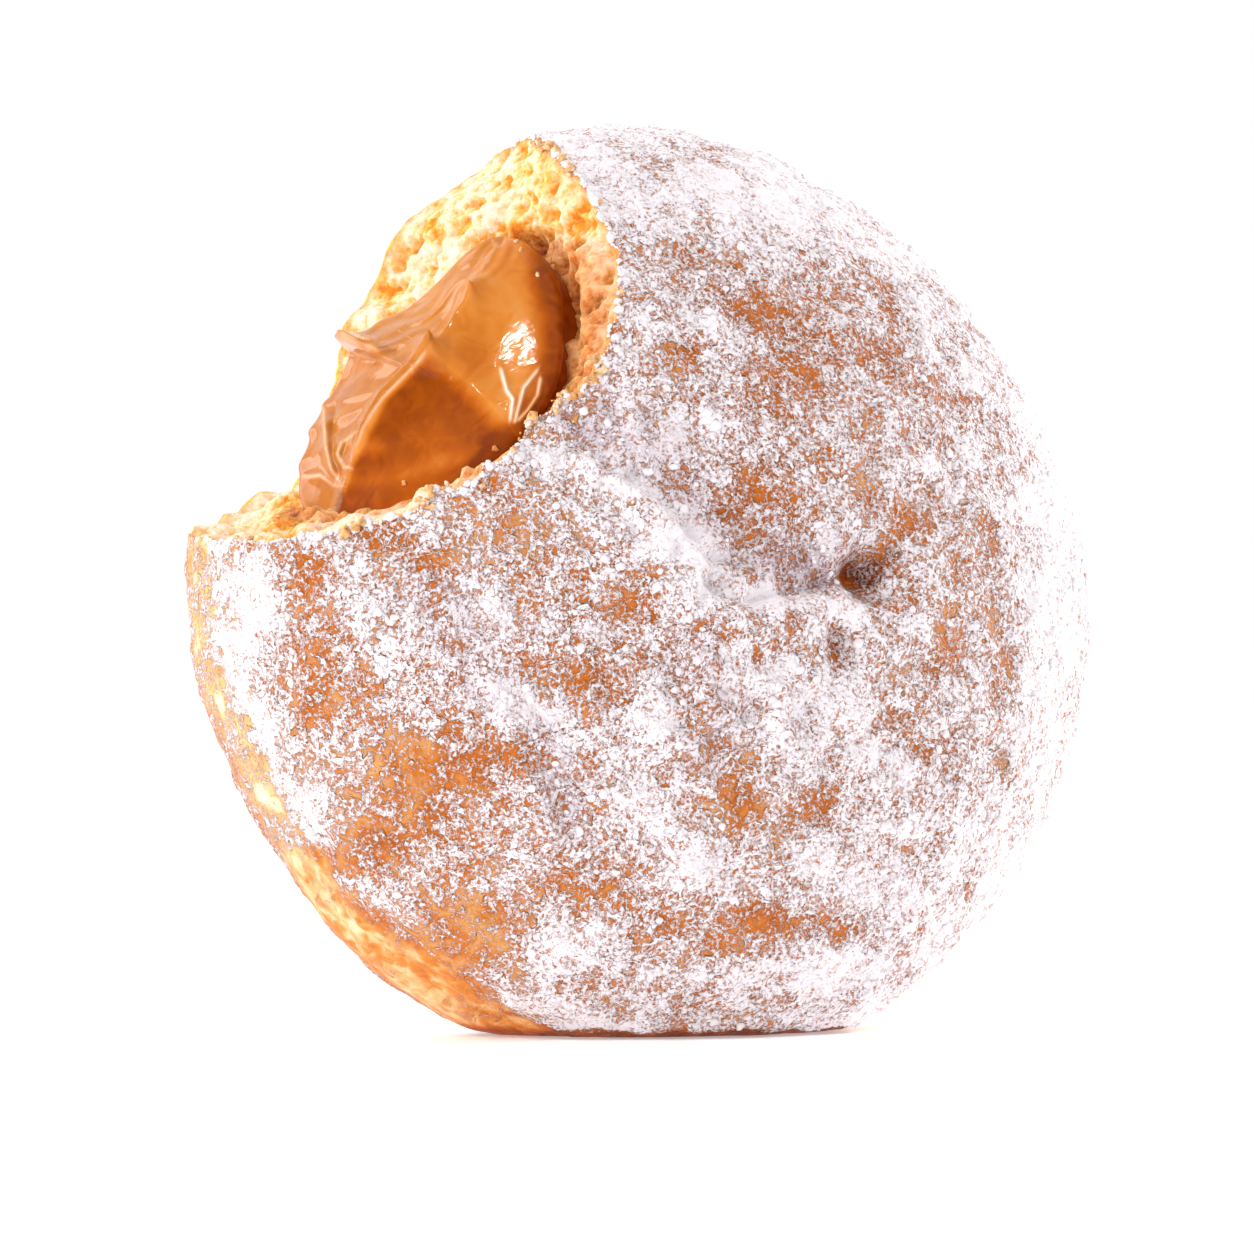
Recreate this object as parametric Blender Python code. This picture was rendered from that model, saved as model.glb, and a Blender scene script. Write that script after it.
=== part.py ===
"""A filled yeast doughnut with one broad bite out of it, standing on its rim.

The doughnut is a plump disc without a hole. It is worked out lying in its own
axes, in millimetres: u and v run across the disc and w runs through its
thickness, toward the face that carries the crease and the dimples. It is then
leaned back, turned, stood on the flat spot at the bottom of its rim and put
into metres, +Z up, with its front toward -Y.
"""

import math

import bmesh
import bpy
import numpy as np
from mathutils import Vector, noise

# Whole doughnut
RIM_RADIUS = 45.0
HALF_THICKNESS = 25.5
FRONT_FULLNESS = 2.0
BACK_FULLNESS = 2.12
TURN = math.radians(24.4)
LEAN = math.radians(11.9)
STANDING_DROP = 40.9
SOFT_FOOT = 0.7

# Long swells of the rim: angle in degrees, height, half width in degrees
RIM_SWELLS = (
    (4, 0.2, 8),
    (42, -0.4, 16),
    (70, -0.5, 12),
    (92, 0.9, 14),
    (207, -0.9, 12),
    (243, 0.4, 12),
    (296, 0.5, 12),
)

# Soft relief of the front face, as points (u, v) in millimetres
CREASE_PATH = ((-19.9, 9.4), (-11.9, 3.6), (-4.9, -0.6), (4.1, -2.6), (12.3, -1.8))
CREASE_DEPTH = 2.3
CREASE_REACH = 4.6
FOLD_PATH = ((-12.9, -0.5), (-5.7, -6.0), (2.1, -7.6), (10.1, -5.2))
FOLD_HEIGHT = 0.9
FOLD_REACH = 3.4
UPPER_FOLD_PATH = ((-17.9, 13.8), (-9.9, 12.2), (-4.4, 13.6))
# Dimples: u, v, depth, radius
DIMPLES = (
    (12.3, -1.8, 3.2, 2.6),
    (9.2, -8.3, 1.6, 2.0),
    (-7.5, -12.6, 0.7, 2.6),
    (2.0, -12.2, 0.6, 2.2),
    (18.6, 6.5, 0.6, 4.5),
    (-25.9, -17.0, 0.6, 5.0),
)
WAIST_DEPTH = 0.75
WAIST_REACH = 4.2
SWELL_SIZE = 13.0
SWELL_HEIGHT = 0.55

# Bite: a cone that tapers toward the back, about an axis along w
BITE_CENTRE = (-45.0, 36.0)
# Angle in degrees about the bite's centre, radius at mid thickness, widening per millimetre of w
BITE_WALL = (
    (-100, 35.5, 0.26),
    (-90, 34.0, 0.26),
    (-75, 32.1, 0.255),
    (-58, 31.8, 0.24),
    (-40, 30.0, 0.30),
    (-22, 27.7, 0.355),
    (0, 27.3, 0.34),
    (5, 28.0, 0.29),
    (12, 31.2, 0.03),
    (25, 33.0, 0.0),
)
TOOTH_DEPTH = 0.35
TOOTH_PITCH = 17.0

# Filling: seen from the front, a mound with a lip round it
MOUND_CENTRE = (-19.2, 20.1, 8.5)
MOUND_SLOPE = (0.35, -0.62)
MOUND_RISE = 6.5
# Reach of the lip from the mound's centre and its distance forward, every 22.5 degrees
LIP_REACH = (11.5, 12.8, 15.2, 15.1, 10.6, 8.5, 8.9, 9.3, 10.1, 13.6, 16.6, 12.6, 10.3, 9.8, 9.8, 10.3)
LIP_FORWARD = (17.2, 13.6, 8.9, 4.1, 1.0, 0.0, -1.5, -1.1, 0.9, 4.4, 9.5, 15.5, 18.0, 19.5, 20.0, 19.5)
CURL_ANGLE = math.radians(155)
CURL_REACH = 1.9
# The pocket runs this far into the dough, along u, v and w
POCKET_RUN = (24.0, -18.0, -4.0)
POCKET_GAP = 0.3
# Peaks and ridges of the mound, seen from the front: the two ends, height at each end, width on the
# left and on the right of the line
RIDGES = (
    ((-16.1, 29.3), (-19.6, 24.4), 2.6, 1.2, 0.8, 3.6),
    ((-20.3, 23.6), (-25.6, 17.8), 2.0, 1.4, 0.8, 2.6),
    ((-25.6, 17.8), (-27.6, 13.6), 1.4, 0.4, 0.9, 2.0),
    ((-28.8, 24.6), (-22.0, 26.0), 1.3, 0.4, 1.3, 1.0),
)
PEAKS = ((-19.6, 25.1, 2.4, 0.75), (-16.1, 29.5, 1.2, 0.9))

DOUGH_CELLS = 26
MOUND_CELLS = 18

GOLDEN_CRUST = (0.72, 0.50, 0.33, 1.0)
CARAMEL = (0.47, 0.15, 0.025, 1.0)

AXIS = np.array([math.sin(TURN) * math.cos(LEAN), math.sin(LEAN), math.cos(TURN) * math.cos(LEAN)])
ACROSS = np.array([1.0, 0.0, 0.0]) - AXIS[0] * AXIS
ACROSS /= np.linalg.norm(ACROSS)
UPWARD = np.cross(AXIS, ACROSS)
# Rows give u, v and w from a point seen from the front as right, up and forward
TO_DISC = np.array([ACROSS, UPWARD, AXIS])


def smooth_between(low, high, value):
    share = np.clip((value - low) / (high - low), 0.0, 1.0)
    return share * share * (3.0 - 2.0 * share)


def ball_grid(cells, toward, crowding):
    """Unit directions all round and the four-cornered cells between them, closer together on one side."""
    steps = np.tan(np.linspace(-math.pi / 4, math.pi / 4, cells + 1))
    first, second = np.meshgrid(steps, steps, indexing="ij")
    places = np.arange((cells + 1) ** 2).reshape(cells + 1, cells + 1)
    corner = [places[:-1, :-1], places[1:, :-1], places[1:, 1:], places[:-1, 1:]]
    points, quads = [], []
    for axis in range(3):
        for sign in (1, -1):
            side = np.empty((cells + 1, cells + 1, 3))
            side[..., axis] = sign
            side[..., (axis + 1) % 3] = first
            side[..., (axis + 2) % 3] = second
            ring = np.stack([c.ravel() for c in corner[::sign]], axis=1)
            quads.append(ring + len(points) * places.size)
            points.append(side.reshape(-1, 3))
    points = np.concatenate(points)
    points /= np.linalg.norm(points, axis=1)[:, None]
    _, kept, index = np.unique(np.round(points, 6), axis=0, return_index=True, return_inverse=True)
    points = points[kept]
    quads = index.reshape(-1)[np.concatenate(quads)]
    toward = np.asarray(toward) / np.linalg.norm(toward)
    level = points @ toward
    flat = points - level[:, None] * toward
    wide = np.linalg.norm(flat, axis=1)
    spread = crowding * wide / np.maximum(1.0 + level, 1e-9)
    spread = np.where(level < -0.999999, 1e6, spread)
    new_level = (1.0 - spread**2) / (1.0 + spread**2)
    new_wide = 2.0 * spread / (1.0 + spread**2)
    moved = new_level[:, None] * toward + flat * (new_wide / np.maximum(wide, 1e-9))[:, None]
    return moved, quads


def off_path(u, v, path):
    """Distance from a path of straight runs, and how far along it, from 0 to 1, the nearest place is."""
    nearest = np.full(len(u), 1e9)
    place = np.zeros(len(u))
    for k in range(len(path) - 1):
        start, end = np.array(path[k]), np.array(path[k + 1])
        run = end - start
        along = np.clip(((u - start[0]) * run[0] + (v - start[1]) * run[1]) / (run @ run), 0.0, 1.0)
        distance = np.hypot(u - start[0] - along * run[0], v - start[1] - along * run[1])
        closer = distance < nearest
        nearest = np.where(closer, distance, nearest)
        place = np.where(closer, (k + along) / (len(path) - 1), place)
    return nearest, place


def face_relief(points):
    """Height of the skin over the plain disc, in millimetres, at points of the plain disc."""
    u, v, w = points.T
    front = smooth_between(1.0, 9.0, w)
    distance, place = off_path(u, v, CREASE_PATH)
    height = -CREASE_DEPTH * np.exp(-((distance / CREASE_REACH) ** 2)) * (1.0 - 0.35 * place)
    distance, place = off_path(u, v, FOLD_PATH)
    height += FOLD_HEIGHT * np.exp(-((distance / FOLD_REACH) ** 2))
    distance, place = off_path(u, v, UPPER_FOLD_PATH)
    height -= 0.6 * np.exp(-((distance / 1.8) ** 2))
    for dimple_u, dimple_v, depth, radius in DIMPLES:
        height -= depth * np.exp(-((u - dimple_u) ** 2 + (v - dimple_v) ** 2) / radius**2)
    height *= front
    height -= WAIST_DEPTH * np.exp(-(((w - 0.8) / WAIST_REACH) ** 2))
    swell = [noise.noise(Vector(p) / SWELL_SIZE) for p in points]
    height += SWELL_HEIGHT * np.array(swell)
    return height


def plump_disc(directions):
    """Points of the whole doughnut's skin, before the bite, in its own axes."""
    wide = np.hypot(directions[:, 0], directions[:, 1])
    fullness = np.where(directions[:, 2] > 0, FRONT_FULLNESS, BACK_FULLNESS)
    reach = wide ** (2.0 / fullness)
    rise = np.abs(directions[:, 2]) ** (2.0 / fullness) * np.sign(directions[:, 2])
    angle = np.degrees(np.arctan2(directions[:, 1], directions[:, 0]))
    radius = np.full(len(wide), RIM_RADIUS)
    for middle, height, half_width in RIM_SWELLS:
        away = (angle - middle + 180.0) % 360.0 - 180.0
        radius += height * np.exp(-((away / half_width) ** 2)) * wide**2
    heading = directions[:, :2] / np.maximum(wide, 1e-9)[:, None]
    points = np.column_stack([heading * (reach * radius)[:, None], HALF_THICKNESS * rise])
    outward = points / np.array([RIM_RADIUS**2, RIM_RADIUS**2, HALF_THICKNESS**2])
    outward /= np.linalg.norm(outward, axis=1)[:, None]
    return points + outward * face_relief(points)[:, None]


def to_front(points):
    """From the disc's own axes to right, up and forward as seen from the front."""
    return points @ TO_DISC


def rested(points):
    """The soft underside pressed flat where the doughnut stands, in right, up and forward."""
    above = points[:, 1] + STANDING_DROP
    pressed = np.where(above > SOFT_FOOT, above, (above + SOFT_FOOT) ** 2 / (4.0 * SOFT_FOOT))
    pressed = np.where(above < -SOFT_FOOT, 0.0, pressed)
    return np.column_stack([points[:, 0], pressed, points[:, 2]])


def bite_radius(angle, w):
    angles, radii, widening = np.array(BITE_WALL).T
    plain = np.interp(angle, angles, radii) + np.interp(angle, angles, widening) * w
    return plain + TOOTH_DEPTH * np.abs(np.sin(np.radians(angle + 6.0) * 180.0 / TOOTH_PITCH / 2.0))


def bite_shape():
    """The bite as a closed tube in the disc's own axes, longer than the doughnut is thick."""
    angles = np.concatenate([np.linspace(-100, 25, 42), np.linspace(45, 240, 11)])
    levels = np.linspace(-34.0, 34.0, 29)
    rings = []
    for w in levels:
        radius = np.where(angles <= 25, bite_radius(angles, w), 35.0)
        turned = np.radians(angles)
        ring_u = BITE_CENTRE[0] + radius * np.cos(turned)
        ring_v = BITE_CENTRE[1] + radius * np.sin(turned)
        rings.append(np.column_stack([ring_u, ring_v, np.full(len(angles), w)]))
    points = np.concatenate(rings)
    count = len(angles)
    faces = []
    for level in range(len(levels) - 1):
        for k in range(count):
            low = level * count + k
            low_next = level * count + (k + 1) % count
            faces.append((low, low_next, low_next + count, low + count))
    faces.append(tuple(range(count))[::-1])
    top = (len(levels) - 1) * count
    faces.append(tuple(top + k for k in range(count)))
    return points, faces


def mound_relief(x, y):
    """Height of the swirls over the plain mound, by place as seen from the front."""
    height = np.zeros(len(x))
    for start, end, high, low, left, right in RIDGES:
        start, end = np.array(start), np.array(end)
        run = end - start
        along = np.clip(((x - start[0]) * run[0] + (y - start[1]) * run[1]) / (run @ run), 0.0, 1.0)
        off_x = x - start[0] - along * run[0]
        off_y = y - start[1] - along * run[1]
        side = (run[0] * off_y - run[1] * off_x) > 0
        width = np.where(side, right, left)
        height += (high + (low - high) * along) * np.exp(-((np.hypot(off_x, off_y) / width) ** 1.6))
    for peak_x, peak_y, high, width in PEAKS:
        height += high * np.exp(-((np.hypot(x - peak_x, y - peak_y) / width) ** 1.5))
    return height


def round_lip(sizes, turned):
    """A smooth closed curve through sizes given at even steps round the lip."""
    sizes = np.array(sizes)
    place = (turned % (2.0 * math.pi)) / (2.0 * math.pi) * len(sizes)
    low = np.floor(place).astype(int)
    t = place - low
    before, here, after, beyond = (sizes[(low + k) % len(sizes)] for k in (-1, 0, 1, 2))
    bend = 2.0 * before - 5.0 * here + 4.0 * after - beyond
    twist = 3.0 * (here - after) + beyond - before
    return here + 0.5 * t * (after - before + t * (bend + t * twist))


def mound(directions):
    """Points of the filling as right, up and forward: a swirled mound in front, a rounded plug behind."""
    turned = np.arctan2(directions[:, 1], directions[:, 0])
    share = np.hypot(directions[:, 0], directions[:, 1])
    facing = np.sqrt(np.maximum(1.0 - share**2, 0.0))
    reach = round_lip(LIP_REACH, turned)
    forward = round_lip(LIP_FORWARD, turned)
    off_curl = np.degrees((turned - CURL_ANGLE + math.pi) % (2.0 * math.pi) - math.pi)
    reach = reach + CURL_REACH * np.exp(-((off_curl / 7.0) ** 2))
    x = MOUND_CENTRE[0] + share * reach * np.cos(turned)
    y = MOUND_CENTRE[1] + share * reach * np.sin(turned)
    slope = (x - MOUND_CENTRE[0]) * MOUND_SLOPE[0] + (y - MOUND_CENTRE[1]) * MOUND_SLOPE[1]
    lip_slope = reach * (np.cos(turned) * MOUND_SLOPE[0] + np.sin(turned) * MOUND_SLOPE[1])
    z = MOUND_CENTRE[2] + slope + (forward - MOUND_CENTRE[2] - lip_slope) * share**2
    in_front = directions[:, 2] > 0
    swirled = MOUND_RISE * facing**1.1 + mound_relief(x, y) * smooth_between(0.0, 0.45, facing)
    run = np.array(POCKET_RUN) @ TO_DISC
    behind = np.where(in_front, 0.0, facing)[:, None] * run
    return np.column_stack([x, y, z + np.where(in_front, swirled, 0.0)]) + behind


def grown(points, quads, by):
    """The same shape with every point moved out along its normal."""
    corner = points[quads]
    cross = np.cross(corner[:, 2] - corner[:, 0], corner[:, 3] - corner[:, 1])
    normals = np.zeros_like(points)
    for k in range(4):
        np.add.at(normals, quads[:, k], cross)
    normals /= np.linalg.norm(normals, axis=1)[:, None]
    return points + by * normals


def placed(points, shift):
    """From right, up and forward in millimetres to the shared frame in metres."""
    return np.column_stack([points[:, 0], -points[:, 2], points[:, 1]]) * 0.001 + shift


def add_object(name, points, faces, colour, roughness):
    mesh = bpy.data.meshes.new(name)
    mesh.from_pydata([tuple(p) for p in points], [], [tuple(int(k) for k in f) for f in faces])
    mesh.update()
    surface = bpy.data.materials.new(name)
    surface.use_nodes = True
    shader = surface.node_tree.nodes["Principled BSDF"]
    shader.inputs["Base Color"].default_value = colour
    shader.inputs["Roughness"].default_value = roughness
    shader.inputs["Metallic"].default_value = 0.0
    mesh.materials.append(surface)
    mesh.polygons.foreach_set("use_smooth", [True] * len(mesh.polygons))
    made = bpy.data.objects.new(name, mesh)
    bpy.context.scene.collection.objects.link(made)
    return made


def cut(target, cutter):
    """Takes the cutter's shape out of the target and removes the cutter."""
    step = target.modifiers.new("cut", "BOOLEAN")
    step.operation = "DIFFERENCE"
    step.solver = "EXACT"
    step.object = cutter
    graph = bpy.context.evaluated_depsgraph_get()
    mesh = bpy.data.meshes.new_from_object(target.evaluated_get(graph))
    target.modifiers.clear()
    target.data = mesh
    bpy.data.objects.remove(cutter)
    joined = bmesh.new()
    joined.from_mesh(mesh)
    bmesh.ops.remove_doubles(joined, verts=joined.verts, dist=0.00002)
    bmesh.ops.dissolve_degenerate(joined, edges=joined.edges, dist=0.00002)
    bmesh.ops.triangulate(joined, faces=joined.faces)
    joined.to_mesh(mesh)
    joined.free()
    mesh.update()


for leftover in list(bpy.data.objects):
    bpy.data.objects.remove(leftover)

# Skin of the whole doughnut, pressed flat underneath
around, dough_quads = ball_grid(DOUGH_CELLS, (-0.2, -0.1, 1.0), 0.85)
skin = rested(to_front(plump_disc(around)))

# Middle of the footprint moves to the frame's origin
box_low, box_high = skin.min(axis=0), skin.max(axis=0)
middle = (box_low + box_high) / 2.0
SHIFT = np.array([-middle[0], middle[2], -box_low[1]]) * 0.001

# Filling, and the pocket that it fills
facing_out, mound_quads = ball_grid(MOUND_CELLS, (0.0, 0.0, 1.0), 0.75)
mound_faces = np.concatenate([mound_quads[:, :3], mound_quads[:, [0, 2, 3]]])
filling_points = mound(facing_out)
pocket_points = grown(filling_points, mound_quads, POCKET_GAP)
bite_points, bite_faces = bite_shape()
bite_points = to_front(bite_points) + np.array([0.0, STANDING_DROP, 0.0])
lift = np.array([0.0, STANDING_DROP, 0.0])

dough = add_object("dough", placed(skin, SHIFT), dough_quads, GOLDEN_CRUST, 0.8)
bite = add_object("bite", placed(bite_points, SHIFT), bite_faces, GOLDEN_CRUST, 0.8)
cut(dough, bite)
pocket = add_object("pocket", placed(pocket_points + lift, SHIFT), mound_faces, GOLDEN_CRUST, 0.8)
cut(dough, pocket)
filling = add_object("filling", placed(filling_points + lift, SHIFT), mound_faces, CARAMEL, 0.22)
for spare in list(bpy.data.materials):
    if not spare.users:
        bpy.data.materials.remove(spare)
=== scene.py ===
"""Looks of the bitten, sugar-dusted doughnut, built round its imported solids."""

import math

import bmesh
import bpy
import numpy as np
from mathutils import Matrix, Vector, noise
from mathutils.kdtree import KDTree


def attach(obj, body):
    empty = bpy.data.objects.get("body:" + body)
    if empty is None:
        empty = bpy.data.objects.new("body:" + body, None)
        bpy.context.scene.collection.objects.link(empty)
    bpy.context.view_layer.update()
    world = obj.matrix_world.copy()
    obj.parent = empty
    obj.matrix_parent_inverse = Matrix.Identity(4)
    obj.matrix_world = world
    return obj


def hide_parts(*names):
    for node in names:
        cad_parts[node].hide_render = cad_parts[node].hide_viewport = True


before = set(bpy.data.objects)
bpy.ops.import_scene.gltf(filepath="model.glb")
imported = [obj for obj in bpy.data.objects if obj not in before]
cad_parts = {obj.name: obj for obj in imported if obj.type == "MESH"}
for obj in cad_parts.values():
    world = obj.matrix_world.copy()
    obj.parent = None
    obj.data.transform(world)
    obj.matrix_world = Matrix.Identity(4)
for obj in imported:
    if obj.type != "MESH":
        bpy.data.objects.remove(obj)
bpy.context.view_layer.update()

# Dough skin
# The fried yeast dough: a plump disc without a hole, golden brown on both faces, with a paler waist
# where it floated in the oil. Risen, fried, filled, dusted with icing sugar and then bitten once.
RIM_RADIUS = 45.0
HALF_THICKNESS = 25.5
FRONT_FULLNESS = 2.0
BACK_FULLNESS = 2.12
TURN = math.radians(24.4)
LEAN = math.radians(11.9)
STANDING_DROP = 40.9
SOFT_FOOT = 0.7
RIM_SWELLS = (
    (4, 0.2, 8),
    (42, -0.4, 16),
    (70, -0.5, 12),
    (92, 0.9, 14),
    (207, -0.9, 12),
    (243, 0.4, 12),
    (296, 0.5, 12),
)
CREASE_PATH = ((-19.9, 9.4), (-11.9, 3.6), (-4.9, -0.6), (4.1, -2.6), (12.3, -1.8))
CREASE_DEPTH = 2.3
CREASE_REACH = 4.6
FOLD_PATH = ((-12.9, -0.5), (-5.7, -6.0), (2.1, -7.6), (10.1, -5.2))
FOLD_HEIGHT = 0.9
FOLD_REACH = 3.4
UPPER_FOLD_PATH = ((-17.9, 13.8), (-9.9, 12.2), (-4.4, 13.6))
UPPER_FOLD_DEPTH = 0.6
UPPER_FOLD_REACH = 1.8
DIMPLES = (
    (12.3, -1.8, 3.2, 2.6),
    (9.2, -8.3, 1.6, 2.0),
    (-7.5, -12.6, 0.7, 2.6),
    (2.0, -12.2, 0.6, 2.2),
    (18.6, 6.5, 0.6, 4.5),
    (-25.9, -17.0, 0.6, 5.0),
)
WAIST_DEPTH = 0.75
WAIST_REACH = 4.2
WAIST_LEVEL = 0.8
SWELL_SIZE = 13.0
SWELL_HEIGHT = 0.55
# Crisp folds and puckers over the broad ones: path, height, spread to the left and right of it
FOLDS = (
    (((-19.0, 7.3), (-14.0, 5.1), (-9.6, 2.0), (-6.0, -1.9), (-5.4, -5.3)), 2.1, 1.0, 3.0),
    (((-6.1, -2.3), (-4.0, -5.3), (-1.3, -6.0), (5.0, -4.2), (12.0, -1.3)), -1.4, 0.9, 0.7),
    (((11.7, -0.8), (13.5, -1.0), (14.8, -2.1)), -1.5, 1.1, 0.7),
    (((13.5, -1.0), (16.4, 1.4)), -1.2, 0.6, 0.7),
    (((9.1, -6.7), (9.6, -8.6), (10.2, -10.8)), -0.4, 1.0, 0.6),
    (((-17.8, 6.1), (-14.0, 8.0), (-9.7, 8.8), (-5.0, 9.0)), 0.6, 0.5, 2.2),
    (((-14.8, -6.7), (-10.4, -5.8), (-5.8, -6.9)), 0.8, 2.0, 0.6),
    (((-3.8, -10.7), (-4.4, -14.3), (-2.7, -17.8)), 1.0, 1.1, 1.6),
    (((3.6, -12.7), (2.8, -15.9), (4.6, -19.0)), 1.0, 0.9, 1.6),
    (((-22.5, -16.0), (-20.7, -21.2), (-17.9, -25.6), (-15.9, -29.0)), 1.1, 0.9, 2.4),
)
SKIN_CELLS = 112

AXIS = np.array([math.sin(TURN) * math.cos(LEAN), math.sin(LEAN), math.cos(TURN) * math.cos(LEAN)])
ACROSS = np.array([1.0, 0.0, 0.0]) - AXIS[0] * AXIS
ACROSS /= np.linalg.norm(ACROSS)
UPWARD = np.cross(AXIS, ACROSS)
TO_DISC = np.array([ACROSS, UPWARD, AXIS])
# Shift in metres that puts the middle of the footprint at the origin
SHIFT = np.array([0.000061, -0.000538, 0.0])


def smooth_between(low, high, value):
    share = np.clip((value - low) / (high - low), 0.0, 1.0)
    return share * share * (3.0 - 2.0 * share)


def hill(away, reach, power=2):
    """From 1 on the spot down to 0 well past its reach."""
    return np.exp(-((away / reach) ** power))


def oval_hill(x, y, middle_x, middle_y, wide, tall):
    return np.exp(-(((x - middle_x) / wide) ** 2) - ((y - middle_y) / tall) ** 2)


def ball_grid(cells, toward, crowding):
    """Unit directions all round and the four-cornered cells between them, closer on one side."""
    steps = np.tan(np.linspace(-math.pi / 4, math.pi / 4, cells + 1))
    first, second = np.meshgrid(steps, steps, indexing="ij")
    places = np.arange((cells + 1) ** 2).reshape(cells + 1, cells + 1)
    corner = [places[:-1, :-1], places[1:, :-1], places[1:, 1:], places[:-1, 1:]]
    points, quads = [], []
    for axis in range(3):
        for sign in (1, -1):
            side = np.empty((cells + 1, cells + 1, 3))
            side[..., axis] = sign
            side[..., (axis + 1) % 3] = first
            side[..., (axis + 2) % 3] = second
            ring = np.stack([c.ravel() for c in corner[::sign]], axis=1)
            quads.append(ring + len(points) * places.size)
            points.append(side.reshape(-1, 3))
    points = np.concatenate(points)
    points /= np.linalg.norm(points, axis=1)[:, None]
    _, kept, index = np.unique(np.round(points, 6), axis=0, return_index=True, return_inverse=True)
    points = points[kept]
    quads = index.reshape(-1)[np.concatenate(quads)]
    toward = np.asarray(toward) / np.linalg.norm(toward)
    level = points @ toward
    flat = points - level[:, None] * toward
    wide = np.linalg.norm(flat, axis=1)
    spread = crowding * wide / np.maximum(1.0 + level, 1e-9)
    spread = np.where(level < -0.999999, 1e6, spread)
    new_level = (1.0 - spread**2) / (1.0 + spread**2)
    new_wide = 2.0 * spread / (1.0 + spread**2)
    moved = new_level[:, None] * toward + flat * (new_wide / np.maximum(wide, 1e-9))[:, None]
    return moved, quads


def off_path(u, v, path):
    """Distance from a path of straight runs, how far along it, 0 to 1, and whether left of it."""
    nearest = np.full(len(u), 1e9)
    place = np.zeros(len(u))
    left = np.zeros(len(u), bool)
    for k in range(len(path) - 1):
        start, end = np.array(path[k]), np.array(path[k + 1])
        run = end - start
        along = np.clip(((u - start[0]) * run[0] + (v - start[1]) * run[1]) / (run @ run), 0.0, 1.0)
        off_u, off_v = u - start[0] - along * run[0], v - start[1] - along * run[1]
        distance = np.hypot(off_u, off_v)
        closer = distance < nearest
        nearest = np.where(closer, distance, nearest)
        place = np.where(closer, (k + along) / (len(path) - 1), place)
        left = np.where(closer, run[0] * off_v - run[1] * off_u > 0, left)
    return nearest, place, left


def grid_number(ix, iy, iz, seed):
    """A repeatable number from -1 to 1 for each corner of an endless grid."""
    mixed = (ix * 374761393 + iy * 668265263 + iz * 1442695041 + seed * 1274126177) & 0xFFFFFFFF
    mixed = ((mixed ^ (mixed >> 13)) * 1274126177) & 0xFFFFFFFF
    mixed = ((mixed ^ (mixed >> 16)) * 668265263) & 0xFFFFFFFF
    return (mixed ^ (mixed >> 15)) / 2147483647.5 - 1.0


def rough(points, size, seed=0):
    """Smooth unevenness from about -1 to 1, with bumps about one size apart."""
    place = points / size
    low = np.floor(place)
    part = place - low
    part = part**3 * (part * (part * 6.0 - 15.0) + 10.0)
    low = low.astype(np.int64)
    total = np.zeros(len(points))
    for cx in (0, 1):
        for cy in (0, 1):
            for cz in (0, 1):
                share = part[:, 0] if cx else 1.0 - part[:, 0]
                share = share * (part[:, 1] if cy else 1.0 - part[:, 1])
                share = share * (part[:, 2] if cz else 1.0 - part[:, 2])
                total += share * grid_number(low[:, 0] + cx, low[:, 1] + cy, low[:, 2] + cz, seed)
    return total


def face_relief(points):
    """Height of the skin over the plain disc, in millimetres, at points of the plain disc."""
    u, v, w = points.T
    front = smooth_between(1.0, 9.0, w)
    distance, place, _ = off_path(u, v, CREASE_PATH)
    height = -CREASE_DEPTH * hill(distance, CREASE_REACH) * (1.0 - 0.35 * place)
    distance, _, _ = off_path(u, v, FOLD_PATH)
    height += FOLD_HEIGHT * hill(distance, FOLD_REACH)
    distance, _, _ = off_path(u, v, UPPER_FOLD_PATH)
    height -= UPPER_FOLD_DEPTH * hill(distance, UPPER_FOLD_REACH)
    for dimple_u, dimple_v, depth, radius in DIMPLES:
        height -= depth * np.exp(-((u - dimple_u) ** 2 + (v - dimple_v) ** 2) / radius**2)
    for path, rise, wide_left, wide_right in FOLDS:
        distance, place, left = off_path(u, v, path)
        ends = smooth_between(-0.02, 0.15, place) * smooth_between(1.02, 0.85, place)
        height += rise * ends * hill(distance, np.where(left, wide_left, wide_right), 1.5)
    height *= front
    height -= WAIST_DEPTH * hill(w - WAIST_LEVEL, WAIST_REACH)
    swell = [noise.noise(Vector(p) / SWELL_SIZE) for p in points]
    height += SWELL_HEIGHT * np.array(swell)
    return height


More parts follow.
